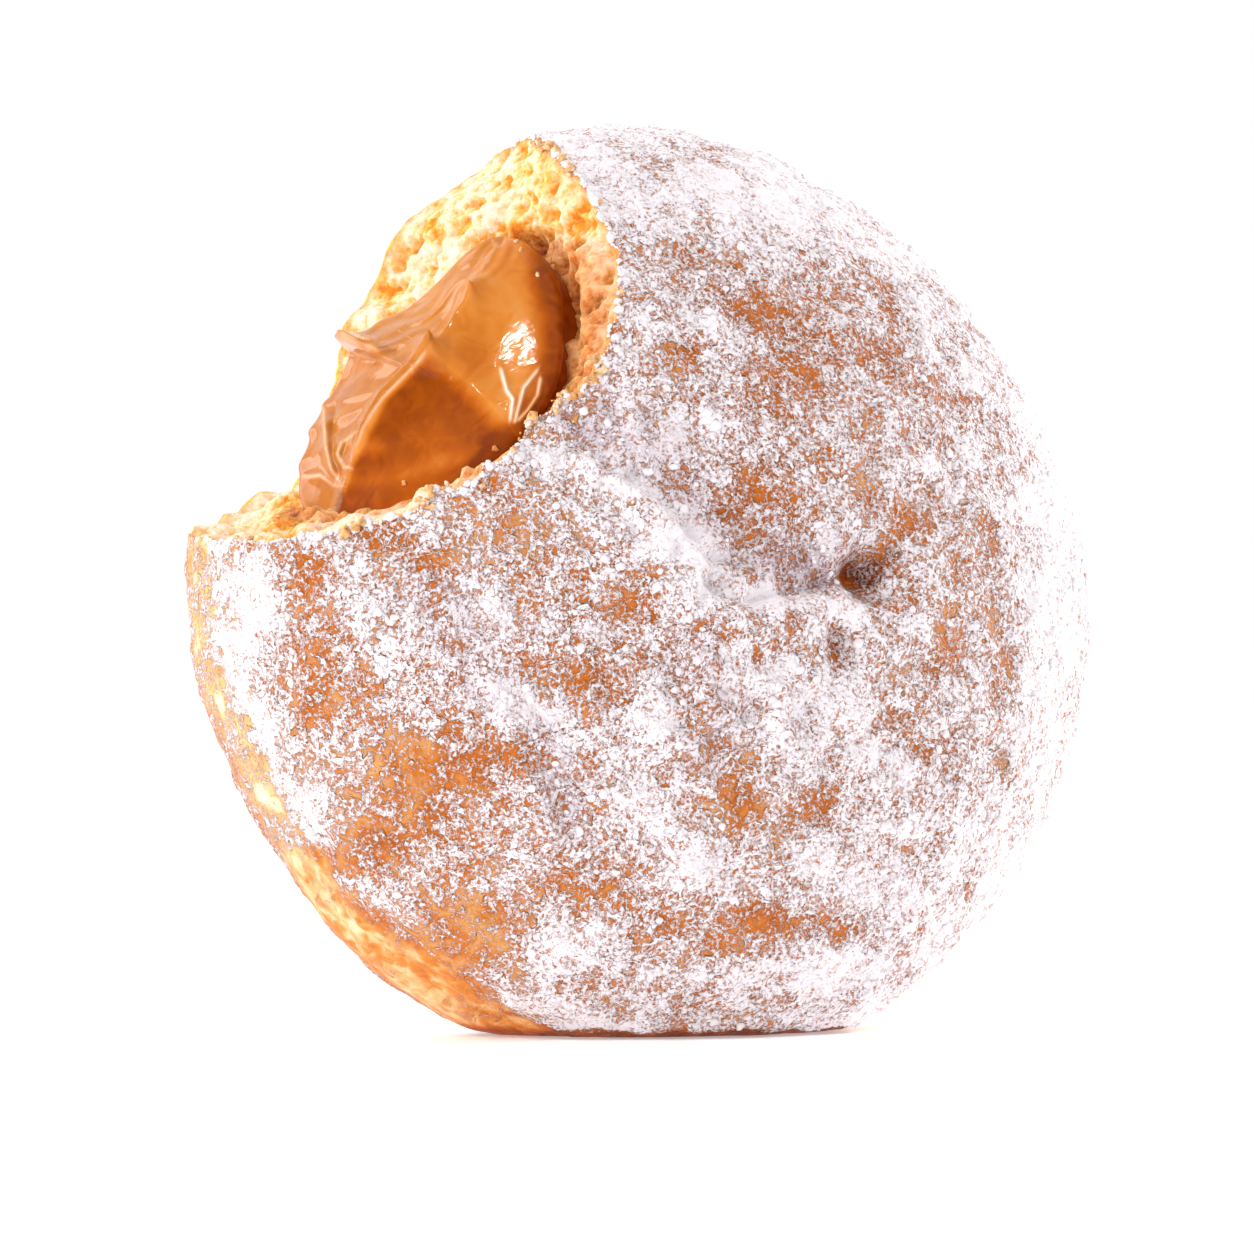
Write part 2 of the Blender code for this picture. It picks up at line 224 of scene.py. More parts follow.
# Where the sugar has worn or melted off: u, v, radius across, radius along v, how bare
WORN_SPOTS = (
    (-28.6, -22.5, 7.5, 6.0, 0.66),
    (-21.5, -36.3, 5.0, 3.0, 0.85),
    (-39.3, -3.7, 1.6, 2.8, 0.55),
    (-36.5, -13.8, 3.0, 4.5, 0.42),
    (-28.7, -3.3, 3.0, 2.4, 0.42),
    (-20.6, -13.3, 2.2, 1.7, 0.45),
    (-15.2, -14.2, 1.8, 1.6, 0.42),
    (0.4, 4.4, 3.2, 1.3, 0.60),
    (-3.1, 2.3, 1.6, 1.0, 0.70),
    (1.6, 22.8, 2.4, 1.6, 0.60),
    (-5.7, 17.4, 4.2, 1.8, 0.24),
    (3.2, 15.9, 4.2, 2.0, 0.30),
    (13.6, 19.9, 3.2, 2.8, 0.40),
    (16.8, 17.3, 1.6, 2.2, 0.42),
    (12.7, -1.4, 1.4, 1.2, 1.20),
    (14.6, 1.4, 0.9, 1.5, 0.50),
    (16.4, 3.8, 2.0, 1.4, 0.60),
    (8.9, -9.2, 0.9, 2.3, 0.75),
    (28.8, -9.3, 1.6, 2.8, 0.50),
    (8.3, -23.0, 1.6, 1.3, 0.65),
    (4.1, -24.4, 4.2, 1.4, 0.50),
    (21.2, -17.9, 4.2, 2.2, 0.15),
    (-16.2, -31.4, 2.4, 2.6, 0.45),
    (-31.1, -28.5, 4.2, 2.2, 0.42),
    (-0.5, -37.3, 5.0, 2.0, 0.28),
    (4.2, -33.7, 4.2, 1.5, 0.42),
    (11.9, -33.8, 6.0, 1.5, 0.52),
    (-13.0, -6.6, 3.2, 2.0, 0.35),
    (21.5, -6.6, 1.8, 2.2, 0.30),
    (25.0, 24.6, 2.4, 2.8, 0.30),
    (-30.0, -14.5, 3.5, 3.0, 0.20),
    (-6.9, 36.2, 3.5, 3.0, 0.18),
    (-12.3, -28.8, 3.0, 2.0, 0.10),
)
# Where it lies thick and smooth, as above
DRIFTS = (
    (-20.0, 6.6, 4.0, 1.4, 0.50),
    (-13.2, 4.2, 4.0, 1.5, 0.65),
    (-7.4, -1.2, 2.6, 2.0, 0.60),
    (-5.8, -6.4, 2.2, 2.2, 0.25),
    (2.8, -5.3, 5.5, 1.3, 0.50),
    (-42.3, -7.6, 3.0, 9.0, 0.22),
    (-35.6, -23.3, 1.8, 5.0, 0.35),
    (13.5, -37.4, 7.0, 2.5, 0.40),
    (-14.2, -36.0, 4.5, 2.2, 0.45),
    (-10.4, 19.4, 2.0, 3.5, 0.25),
    (-1.5, 34.4, 14.0, 4.0, 0.25),
    (35.2, -0.4, 4.5, 22.0, 0.30),
    (-3.1, -14.3, 2.4, 4.0, 0.12),
    (3.3, -16.4, 2.0, 4.0, 0.35),
    (-17.3, -19.5, 2.4, 4.5, 0.35),
    (-2.7, -30.0, 3.4, 3.0, 0.35),
    (-6.3, 9.8, 5.0, 2.2, 0.30),
    (10.5, -15.7, 6.0, 2.5, 0.30),
    (-9.3, -19.0, 3.0, 3.4, 0.30),
    (-22.8, -16.0, 4.0, 3.0, 0.25),
    (16.2, -28.2, 6.0, 2.0, 0.30),
    (16.3, -19.6, 4.5, 3.5, 0.50),
    (-14.0, 0.6, 3.5, 2.0, 0.20),
    (-0.8, 18.2, 3.0, 2.4, 0.28),
    (-19.0, -32.0, 2.6, 2.0, 0.28),
    (-0.7, 17.3, 2.8, 2.6, 0.18),
    (21.9, 8.7, 3.5, 3.5, 0.16),
    (27.6, 20.0, 3.0, 3.5, 0.25),
    (0.1, -39.0, 4.0, 2.0, 0.30),
    (16.4, -18.5, 2.6, 2.6, 0.14),
    (5.4, 35.5, 7.0, 3.0, 0.22),
    (10.2, -6.2, 1.4, 1.4, 0.20),
)

# How thickly it lies in general, and its unevenness: size of the patches, share, seed
USUAL_LIE = 0.43
LIE_UNEVENNESS = ((9.0, 0.10, 3), (4.2, 0.20, 4), (1.9, 0.20, 5))
# Creases where the sugar is greyed with painted shade: path, reach to its left and right, how dark
SHADED_CREASES = (
    (
        ((-16.7, 9.7), (-10.6, 7.8), (-4.9, 2.6), (-0.9, -1.6), (4.2, -2.7), (10.5, -2.2)),
        3.4, 1.4, 1.0,
    ),
    (((-29.5, -6.2), (-25.0, -12.5), (-20.0, -19.5), (-15.7, -25.4)), 2.6, 2.6, 0.5),
    (((-5.4, -9.7), (-2.9, -16.0), (-4.4, -20.6)), 2.2, 2.2, 0.45),
)


# Painted shade: how far the sugar is greyed near the creases, from 0 to 1
def shade_in_creases(points):
    u, v, w = points.T
    crease_shade = np.zeros(len(points))
    for path, reach_left, reach_right, most in SHADED_CREASES:
        distance, _, left = off_path(u, v, path)
        crease_shade = np.maximum(crease_shade, most * hill(distance, np.where(left, reach_left, reach_right)))
    return np.clip(crease_shade * (0.8 + 0.4 * rough(points, 3.0, 18)), 0.0, 1.0) * (w > 0)


def veins(points):
    """Near 0 along wandering lines in the coat, up to about 1 between them."""
    return np.abs(rough(points + 0.8 * rough(points, 3.0, 16)[:, None], 5.5, 15))


def sugar_depth(points):
    """How thickly the icing sugar lies, from about -1 where the crust is bare to 1 in a drift."""
    u, v, w = points.T
    above = (points @ TO_DISC)[:, 1] + STANDING_DROP
    lie = np.full(len(points), USUAL_LIE)
    for size, share, seed in LIE_UNEVENNESS:
        lie += share * rough(points, size, seed)
    lie += 0.30 * (0.35 - veins(points))
    front = w > 0
    for *spot, bare in WORN_SPOTS:
        lie -= bare * oval_hill(u, v, *spot) * front
    for *spot, deep in DRIFTS:
        lie += deep * oval_hill(u, v, *spot) * front
    angle = np.degrees(np.arctan2(v, u))
    toward_upper_right = smooth_between(-0.5, 0.4, np.cos(np.radians(angle - 25.0)))
    lie += 0.30 * smooth_between(27.0, 41.0, np.hypot(u, v)) * toward_upper_right
    # The sugar ends in a ragged edge above the waist, which is lowest at the lower left
    edge = 2.2 + 3.4 * hill(angle + 118.0, 26.0)
    edge += 1.1 * rough(points, 6.0, 8) + 1.2 * rough(points, 1.8, 9)
    lie += 0.25 * hill(w - edge - 2.0, 2.0)
    patches = smooth_between(6.0, 28.0, above) * smooth_between(-0.8, 0.2, rough(points, 2.0, 17))
    below_edge = (1.0 - smooth_between(-2.4, 1.0, w - edge)) * smooth_between(-9.0, -4.0, w)
    lie -= (0.98 - patches) * below_edge
    lie -= 0.25 * smooth_between(4.0, -4.0, w) * smooth_between(-22.0, -6.0, w)
    lie -= 1.3 * (1.0 - smooth_between(0.1, 0.9, above + 0.5 * rough(points, 2.0, 10)))
    return np.clip(lie, -1.0, 1.0)


def plump_disc(directions):
    """Points of the whole doughnut's skin, in its own axes, and how the sugar lies on it."""
    wide = np.hypot(directions[:, 0], directions[:, 1])
    fullness = np.where(directions[:, 2] > 0, FRONT_FULLNESS, BACK_FULLNESS)
    reach = wide ** (2.0 / fullness)
    rise = np.abs(directions[:, 2]) ** (2.0 / fullness) * np.sign(directions[:, 2])
    angle = np.degrees(np.arctan2(directions[:, 1], directions[:, 0]))
    radius = np.full(len(wide), RIM_RADIUS)
    for middle, height, half_width in RIM_SWELLS:
        away = (angle - middle + 180.0) % 360.0 - 180.0
        radius += height * hill(away, half_width) * wide**2
    heading = directions[:, :2] / np.maximum(wide, 1e-9)[:, None]
    points = np.column_stack([heading * (reach * radius)[:, None], HALF_THICKNESS * rise])
    outward = points / np.array([RIM_RADIUS**2, RIM_RADIUS**2, HALF_THICKNESS**2])
    outward /= np.linalg.norm(outward, axis=1)[:, None]
    lie = sugar_depth(points)
    height = face_relief(points)
    near_rim = smooth_between(26.0, 38.0, np.hypot(points[:, 0], points[:, 1]))
    deep = np.clip(lie, 0.0, 1.0) * (1.0 - 0.7 * near_rim)
    height += 0.25 * smooth_between(-0.1, 0.7, lie)
    height += (0.10 + 0.50 * deep) * rough(points, 3.1, 10)
    height -= (0.25 + 0.45 * deep) * (veins(points) - 0.3)
    height += (0.10 + 0.52 * deep) * rough(points, 1.6, 11)
    height += 0.14 * rough(points, 0.85, 12) * smooth_between(-0.3, 0.3, lie)
    band = hill(points[:, 2] - WAIST_LEVEL, 4.5)
    wrinkles = 0.24 * rough(points * np.array([1.0, 1.0, 2.2]), 2.4, 13)
    height += band * (wrinkles + 0.22 * rough(points, 1.0, 14))
    return points + outward * height[:, None], lie


def rested(points):
    """The soft underside pressed flat where the doughnut stands, in right, up and forward."""
    above = points[:, 1] + STANDING_DROP
    pressed = np.where(above > SOFT_FOOT, above, (above + SOFT_FOOT) ** 2 / (4.0 * SOFT_FOOT))
    pressed = np.where(above < -SOFT_FOOT, 0.0, pressed)
    return np.column_stack([points[:, 0], pressed, points[:, 2]])


def placed(points):
    """From right, up and forward in millimetres to the shared frame in metres."""
    return np.column_stack([points[:, 0], -points[:, 2], points[:, 1]]) * 0.001 + SHIFT


def back_to_disc(world):
    """From the shared frame to the disc's own axes, in millimetres."""
    local = (world - SHIFT) * 1000.0
    front = np.column_stack([local[:, 0], local[:, 2] - STANDING_DROP, -local[:, 1]])
    return front @ TO_DISC.T


def add_mesh(name, points, faces, materials):
    mesh = bpy.data.meshes.new(name)
    faces = np.asarray(faces)
    mesh.vertices.add(len(points))
    mesh.vertices.foreach_set("co", np.asarray(points, np.float32).ravel())
    mesh.loops.add(faces.size)
    mesh.loops.foreach_set("vertex_index", faces.astype(np.int32).ravel())
    mesh.polygons.add(len(faces))
    starts = np.arange(0, faces.size, faces.shape[1], dtype=np.int32)
    mesh.polygons.foreach_set("loop_start", starts)
    mesh.update(calc_edges=True)
    for material in materials:
        mesh.materials.append(material)
    mesh.shade_smooth()
    made = bpy.data.objects.new(name, mesh)
    bpy.context.scene.collection.objects.link(made)
    return made


def points_of(thing):
    points = np.empty(len(thing.data.vertices) * 3, np.float32)
    thing.data.vertices.foreach_get("co", points)
    return points.reshape(-1, 3).astype(np.float64)


def keep_on_points(thing, name, values):
    held = thing.data.attributes.new(name, "FLOAT", "POINT")
    held.data.foreach_set("value", np.asarray(values, np.float32))


def light_value(red, green, blue):
    """A colour as seen on screen, 0 to 255, as the light values that a shader takes."""
    shown = np.array([red, green, blue]) / 255.0
    linear = np.where(shown <= 0.04045, shown / 12.92, ((shown + 0.055) / 1.055) ** 2.4)
    return (*[float(x) for x in linear], 1.0)


class Finish:
    """A material under construction: its nodes, and short ways to add and join them."""

    def __init__(self, name):
        self.material = bpy.data.materials.new(name)
        self.material.use_nodes = True
        self.nodes = self.material.node_tree.nodes
        self.shader = self.nodes["Principled BSDF"]
        self.place = self.nodes.new("ShaderNodeTexCoord").outputs["Object"]

    def join(self, source, target):
        self.material.node_tree.links.new(source, target)

    def held(self, name):
        node = self.nodes.new("ShaderNodeAttribute")
        node.attribute_name = name
        return node.outputs["Fac"]

    def grain(self, size, detail=2.0, distortion=0.0, roughness=0.5):
        """Noise with bumps of this size in millimetres."""
        node = self.nodes.new("ShaderNodeTexNoise")
        node.inputs["Scale"].default_value = 1000.0 / size
        node.inputs["Detail"].default_value = detail
        node.inputs["Distortion"].default_value = distortion
        node.inputs["Roughness"].default_value = roughness
        self.join(self.place, node.inputs["Vector"])
        return node.outputs["Fac"]

    def sum(self, first, second, share=1.0):
        """First plus share times second."""
        node = self.nodes.new("ShaderNodeMath")
        node.operation = "MULTIPLY_ADD"
        self.join(second, node.inputs[0])
        node.inputs[1].default_value = share
        self.join(first, node.inputs[2])
        return node.outputs[0]

    def off_middle(self, source):
        """How far the source is from one half, either way."""
        node = self.nodes.new("ShaderNodeMath")
        node.operation = "SUBTRACT"
        self.join(source, node.inputs[0])
        node.inputs[1].default_value = 0.5
        size = self.nodes.new("ShaderNodeMath")
        size.operation = "ABSOLUTE"
        self.join(node.outputs[0], size.inputs[0])
        return size.outputs[0]

    def range(self, source, low, high, to_low=0.0, to_high=1.0):
        node = self.nodes.new("ShaderNodeMapRange")
        node.interpolation_type = "SMOOTHSTEP"
        node.inputs["From Min"].default_value = low
        node.inputs["From Max"].default_value = high
        node.inputs["To Min"].default_value = to_low
        node.inputs["To Max"].default_value = to_high
        self.join(source, node.inputs["Value"])
        return node.outputs["Result"]

    def shades(self, source, *stops):
        """Colours along a scale: each stop is a place and a colour as seen on screen."""
        node = self.nodes.new("ShaderNodeValToRGB")
        scale = node.color_ramp.elements
        while len(scale) < len(stops):
            scale.new(0.5)
        for element, (place, colour) in zip(scale, stops):
            element.position = place
            element.color = light_value(*colour)
        self.join(source, node.inputs["Fac"])
        return node.outputs["Color"]

    def blend(self, share, first, second):
        node = self.nodes.new("ShaderNodeMix")
        node.data_type = "RGBA"
        self.join(share, node.inputs["Factor"])
        self.join(first, node.inputs[6])
        self.join(second, node.inputs[7])
        return node.outputs[2]

    def raise_by(self, height, millimetres, under=None, strength=None):
        node = self.nodes.new("ShaderNodeBump")
        node.inputs["Strength"].default_value = 1.0
        if strength is not None:
            self.join(strength, node.inputs["Strength"])
        node.inputs["Distance"].default_value = millimetres * 0.001
        self.join(height, node.inputs["Height"])
        if under is not None:
            self.join(under, node.inputs["Normal"])
        return node.outputs["Normal"]


crust = Finish("sugared_crust")
lie = crust.held("sugar")
# Browning of the crust, with painted shade at its foot and in creases
toast_and_shade = crust.held("toast_and_shade")
fine = crust.range(crust.grain(0.37, 1.6, 0.5, 0.55), 0.28, 0.72, -0.5, 0.5)
medium = crust.range(crust.grain(1.4, 2.0, 0.4, 0.55), 0.25, 0.75, -0.5, 0.5)
worms = crust.range(crust.off_middle(crust.grain(0.75, 1.0, 1.5)), 0.0, 0.09, -0.5, 0.15)
powder = crust.sum(crust.sum(crust.sum(lie, fine, 1.02), medium, 0.64), worms, 0.65)
covered = crust.range(powder, -0.22, 0.12)
patchy = crust.sum(toast_and_shade, crust.range(crust.grain(3.5, 3.0), 0.3, 0.7, -0.5, 0.5), 0.25)
patchy = crust.sum(patchy, medium, 0.25)
baked = crust.shades(
    patchy,
    (0.0, (250, 230, 204)),
    (0.2, (246, 206, 150)),
    (0.4, (224, 144, 60)),
    (0.65, (192, 94, 10)),
    (1.0, (130, 54, 8)),
)
pitted = crust.shades(patchy, (0.0, (242, 196, 126)), (0.5, (196, 104, 20)), (1.0, (132, 58, 8)))
baked = crust.blend(crust.range(lie, -0.7, -0.1), baked, pitted)
dusted = crust.shades(
    crust.range(powder, 0.0, 0.8),
    (0.0, (216, 168, 150)),
    (0.35, (233, 211, 210)),
    (1.0, (247, 241, 245)),
)
# Painted shade: greyer, darker sugar colours for the creases
crease_shaded_sugar = crust.shades(
    crust.range(powder, 0.0, 0.8),
    (0.0, (180, 126, 112)),
    (0.35, (190, 163, 165)),
    (1.0, (208, 192, 199)),
)
dusted = crust.blend(crust.held("crease_shade"), dusted, crease_shaded_sugar)
crust.join(crust.blend(covered, baked, dusted), crust.shader.inputs["Base Color"])
crust.join(crust.range(covered, 0.0, 1.0, 0.5, 0.92), crust.shader.inputs["Roughness"])
crust.shader.inputs["Specular IOR Level"].default_value = 0.25
packed_smooth = crust.range(lie, 0.5, 1.0, 1.0, 0.6)
relief = crust.raise_by(medium, 0.30, strength=packed_smooth)
relief = crust.raise_by(crust.range(powder, -0.3, 0.8), 0.20, relief, packed_smooth)
crust.join(relief, crust.shader.inputs["Normal"])

around, skin_quads = ball_grid(SKIN_CELLS, (-0.394, -0.225, 0.891), 0.56)
skin_points, skin_sugar = plump_disc(around)
skin_world = placed(rested(skin_points @ TO_DISC))
dough = add_mesh("dough_dressed", skin_world, skin_quads, [crust.material])

# Filling
# Caramel cream piped into the middle. The bite pulled it into a glossy mound with a sharp ridge,
# two peaks and a curl, and it is seated in its pocket in the crumb.
MOUND_CENTRE = (-19.2, 20.1, 8.5)
MOUND_SLOPE = (0.35, -0.62)
MOUND_RISE = 6.5
# At 16 even steps round the lip: how far out it reaches, and how far forward
LIP_REACH = (
    11.5, 12.8, 15.1, 15.0, 9.9, 7.9, 8.5, 9.0, 9.7, 13.1, 17.3, 14.2, 11.7, 10.6, 10.0, 10.3,
)
LIP_FORWARD = (
    17.2, 13.6, 8.9, 4.1, 1.0, 0.0, -1.5, -1.1, 0.9, 4.4, 10.8, 17.7, 20.1, 21.4, 21.3, 19.9,
)
# Folds that stand out at the left edge: degrees round the lip, how far out
LIP_FOLDS = ((189.5, 0.30), (200.0, 0.45), (210.5, 0.40))
LIP_FOLD_REACH = 2.4
CURL_ANGLE = math.radians(155)
CURL_REACH = 2.2
POCKET_RUN = (24.0, -18.0, -4.0)
# Crests and creases of the swirl: path as seen from the front, heights along it, how far it
# spreads to the left and to the right of the path, and how far the crest leans over
RIDGES = (
    (
        ((-15.9, 28.6), (-16.6, 27.2), (-17.6, 25.3), (-18.7, 23.8)),
        (1.3, 1.2, 1.0, 0.4), 3.2, 0.7, (-0.3, 0.4),
    ),
    (
        (
            (-20.0, 22.8), (-20.8, 21.8), (-22.4, 20.2), (-24.2, 18.4),
            (-25.2, 17.0), (-26.0, 15.6), (-26.9, 13.1),
        ),
        (1.6, 1.6, 1.5, 1.4, 1.2, 0.9, 0.2), 2.6, 0.7, (-0.3, 0.4),
    ),
    (
        ((-20.0, 22.9), (-17.2, 20.9), (-15.6, 19.1), (-13.5, 17.6), (-12.5, 15.8)),
        (1.1, 1.1, 1.0, 0.7, 0.1), 2.6, 2.0, (0, 0),
    ),
    (((-17.1, 27.7), (-18.9, 25.9), (-20.7, 25.0)), (-1.0, -1.0, -0.2), 0.6, 0.7, (0, 0)),
    (
        ((-29.4, 19.5), (-27.4, 20.9), (-25.3, 22.0), (-23.4, 22.7), (-21.8, 24.0)),
        (-0.3, -0.5, -0.5, -0.5, -0.2), 1.4, 0.5, (0, 0),
    ),
    (
        ((-28.9, 25.0), (-26.9, 23.9), (-24.8, 23.1), (-22.3, 23.7)),
        (1.4, 1.0, 0.6, 0.2), 1.0, 0.5, (-0.3, 0.5),
    ),
    (
        ((-30.2, 18.1), (-30.0, 16.6), (-29.7, 14.3), (-29.0, 11.8), (-27.9, 10.2)),
        (0.2, 1.0, 1.0, 1.0, 0.2), 0.8, 0.5, (0, 0),
    ),
    (
        ((-26.3, 15.6), (-28.1, 14.3), (-28.5, 13.3), (-27.8, 12.0), (-26.7, 11.8)),
        (0.3, 0.9, 0.9, 0.7, 0.1), 0.6, 0.45, (0, 0),
    ),
    (
        ((-32.4, 11.2), (-30.1, 11.3), (-28.8, 10.3), (-27.7, 10.2)),
        (0.5, 0.6, 0.5, 0.2), 0.4, 0.7, (0, 0),
    ),
    (((-26.7, 12.6), (-25.0, 13.3), (-23.3, 13.9)), (0.2, 0.5, 0.2), 0.9, 1.2, (0, 0)),
    (
        ((-28.9, 18.2), (-29.1, 15.2), (-28.9, 12.8), (-28.2, 11.3)),
        (-0.5, -0.7, -0.7, -0.2), 0.4, 0.4, (0, 0),
    ),
    (
        ((-13.3, 21.4), (-12.6, 19.0), (-12.0, 18.1), (-12.3, 15.7)),
        (0.1, 0.45, 0.45, 0.1), 0.24, 0.24, (0, 0),
    ),
    (
        ((-9.5, 21.2), (-11.0, 19.2), (-11.5, 17.1), (-11.9, 15.7)),
        (0.3, 0.45, 0.45, 0.1), 0.24, 0.24, (0, 0),
    ),
    (
        ((-9.4, 20.4), (-9.7, 18.5), (-10.6, 17.1), (-11.7, 15.9)),
        (0.3, 0.45, 0.45, 0.1), 0.24, 0.24, (0, 0),
    ),
)
# Drawn-out tips: foot, height, radius, and how far the tip is pulled over
TIPS = (
    (-20.0, 22.9, 2.0, 1.1, (0.5, 1.2)),
    (-16.1, 27.9, 1.3, 0.9, (0.3, 1.0)),
)
# Left of this line the swirl steps down, like a terrace
STEP_PATH = (
    (-13.7, 32.5), (-15.9, 28.9), (-17.7, 25.4), (-19.4, 23.9), (-20.9, 21.9), (-22.5, 20.3),
    (-24.3, 18.5), (-26.1, 15.7), (-27.0, 13.1), (-27.7, 9.9), (-28.2, 7.6),
)
STEP_DROP = 1.7
# Shallow flow lines run along the upper left of the swirl
FLOW_PATH = (
    (-28.9, 25.3), (-26.3, 25.7), (-24.1, 26.4), (-22.0, 27.3),
    (-19.9, 28.4), (-18.6, 30.2), (-16.7, 31.7), (-15.0, 33.3),
)
FLOW_SPACING = 1.2
FLOW_DEPTH = 0.16
MOUND_CELLS = 112


def swirled(x, y, facing):
    """Lift of the swirls toward the viewer, and how far their crests lean over to the side."""
    lift = np.zeros(len(x))
    lean = np.zeros((len(x), 2))
    for path, heights, wide_left, wide_right, over in RIDGES:
        distance, place, left = off_path(x, y, path)
        height = np.interp(place, np.linspace(0.0, 1.0, len(heights)), heights)
        here = hill(distance, np.where(left, wide_left, wide_right), 1.6)
        lift += height * here
        lean += (here**3 * height)[:, None] * np.array(over)
    for foot_x, foot_y, height, radius, over in TIPS:
        here = hill(np.hypot(x - foot_x, y - foot_y), radius, 1.6)
        lift += height * here
        lean += (here**2)[:, None] * np.array(over)
    distance, _, left = off_path(x, y, STEP_PATH)
    lift -= STEP_DROP * smooth_between(0.0, 1.1, distance) * ~left
    distance, _, _ = off_path(x, y, FLOW_PATH)
    across = distance + 0.5 * rough(np.column_stack([x, y, 0 * x]), 3.0, 61)
    flow = np.sin(across / FLOW_SPACING * 2.0 * math.pi)
    lift += FLOW_DEPTH * flow * (1.0 - smooth_between(2.5, 4.5, distance))
    fade = smooth_between(0.0, 0.45, facing)
    return lift * fade, lean * fade[:, None]


def round_lip(sizes, turned):
    """A smooth closed curve through sizes given at even steps round the lip."""
    sizes = np.array(sizes)
    place = (turned % (2.0 * math.pi)) / (2.0 * math.pi) * len(sizes)
    low = np.floor(place).astype(int)
    t = place - low
    before, here, after, beyond = (sizes[(low + k) % len(sizes)] for k in (-1, 0, 1, 2))
    bend = 2.0 * before - 5.0 * here + 4.0 * after - beyond
    twist = 3.0 * (here - after) + beyond - before
    return here + 0.5 * t * (after - before + t * (bend + t * twist))


def mound(directions):
    """The filling as right, up and forward: a swirled mound in front, a rounded plug behind."""
    turned = np.arctan2(directions[:, 1], directions[:, 0])
    share = np.hypot(directions[:, 0], directions[:, 1])
    facing = np.sqrt(np.maximum(1.0 - share**2, 0.0))
    reach = round_lip(LIP_REACH, turned)
    forward = round_lip(LIP_FORWARD, turned)
    off_curl = np.degrees((turned - CURL_ANGLE + math.pi) % (2.0 * math.pi) - math.pi)
    reach = reach + CURL_REACH * hill(off_curl, np.where(off_curl > 0, 3.2, 7.0))
    for middle, out in LIP_FOLDS:
        reach = reach + out * hill(np.degrees(turned) % 360.0 - middle, LIP_FOLD_REACH)
    x = MOUND_CENTRE[0] + share * reach * np.cos(turned)
    y = MOUND_CENTRE[1] + share * reach * np.sin(turned)
    slope = (x - MOUND_CENTRE[0]) * MOUND_SLOPE[0] + (y - MOUND_CENTRE[1]) * MOUND_SLOPE[1]
    lip_slope = reach * (np.cos(turned) * MOUND_SLOPE[0] + np.sin(turned) * MOUND_SLOPE[1])
    z = MOUND_CENTRE[2] + slope + (forward - MOUND_CENTRE[2] - lip_slope) * share**2
    in_front = directions[:, 2] > 0
    lift, lean = swirled(x, y, facing)
    front = np.column_stack([lean, MOUND_RISE * facing**0.9 + lift])
    behind = facing[:, None] * (np.array(POCKET_RUN) @ TO_DISC)
    return np.column_stack([x, y, z]) + np.where(in_front[:, None], front, behind)


caramel = Finish("caramel_cream")
streak = caramel.range(caramel.grain(2.6, 2.0, 1.2), 0.3, 0.7, 0.455, 0.545)
# The attribute deep darkens the cream, as painted shade
streak = caramel.sum(streak, caramel.held("deep"), -0.36)
cream = caramel.shades(
    streak,
    (0.0, (126, 50, 2)),
    (0.22, (182, 88, 6)),
    (0.45, (212, 128, 46)),
    (0.65, (222, 156, 84)),
)
terrace_tan = caramel.shades(streak, (0.0, (172, 110, 36)), (0.5, (222, 162, 84)))
cream = caramel.blend(caramel.held("terrace_tan"), cream, terrace_tan)
# Painted highlight: pale colour along the sharpest crests
crest_highlight_colour = caramel.shades(streak, (0.1, (240, 176, 112)), (0.5, (255, 240, 220)))
cream = caramel.blend(caramel.held("crest_highlight"), cream, crest_highlight_colour)
caramel.join(cream, caramel.shader.inputs["Base Color"])
caramel.shader.inputs["Roughness"].default_value = 0.11
caramel.shader.inputs["Specular IOR Level"].default_value = 0.14
caramel.shader.inputs["Subsurface Weight"].default_value = 0.12
caramel.shader.inputs["Subsurface Radius"].default_value = (1.0, 0.35, 0.08)
caramel.shader.inputs["Subsurface Scale"].default_value = 0.002
caramel.join(caramel.raise_by(caramel.grain(1.6, 2.0, 0.8), 0.04), caramel.shader.inputs["Normal"])

facing_out, mound_quads = ball_grid(MOUND_CELLS, (0.0, 0.0, 1.0), 0.6)
mound_world = placed(mound(facing_out) + np.array([0.0, STANDING_DROP, 0.0]))
filling = add_mesh("filling_dressed", mound_world, mound_quads, [caramel.material])

# Painted shade: the cream's colour is darkened on its lower front face, between the crest and the
# shoulder at its right, where it faces down and away from the light
CREST_LINE = ((-20.0, 22.8), (-24.2, 18.4), (-26.9, 13.1), (-28.0, 10.0))
SHOULDER_LINE = ((-20.0, 22.9), (-15.6, 19.1), (-12.5, 15.8), (-9.0, 11.0))
BOTTOM_LINE = ((-27.3, 10.6), (-24.0, 10.7), (-20.0, 11.9), (-15.5, 13.2))
seen_x, seen_y = mound(facing_out).T[:2]
under_crest, _, below = off_path(seen_x, seen_y, CREST_LINE)
off_shoulder, _, above = off_path(seen_x, seen_y, SHOULDER_LINE)
off_bottom, _, _ = off_path(seen_x, seen_y, BOTTOM_LINE)
_, _, right_of_step = off_path(seen_x, seen_y, STEP_PATH)
deep = (below & ~above) * smooth_between(0.0, 0.9, under_crest)
deep = deep * smooth_between(-0.6, 2.0, off_shoulder)
deep = deep * (1.15 - 0.35 * smooth_between(2.0, 7.0, np.minimum(under_crest, off_shoulder)))
# Painted shade on the terrace left of the step, more on its lower part
deep += (0.52 + 0.24 * (1.0 - smooth_between(18.0, 27.0, seen_y))) * ~right_of_step
# Painted reflection: a paler patch on the lower front face
deep -= 0.5 * oval_hill(seen_x, seen_y, -25.3, 13.9, 1.6, 0.8)
# Less painted shade along its bottom edge, and more in a patch right of the upper tip
deep -= 0.3 * hill(off_bottom, 0.8) * right_of_step
deep += 0.5 * oval_hill(seen_x, seen_y, -15.5, 22.6, 2.2, 3.4) * right_of_step
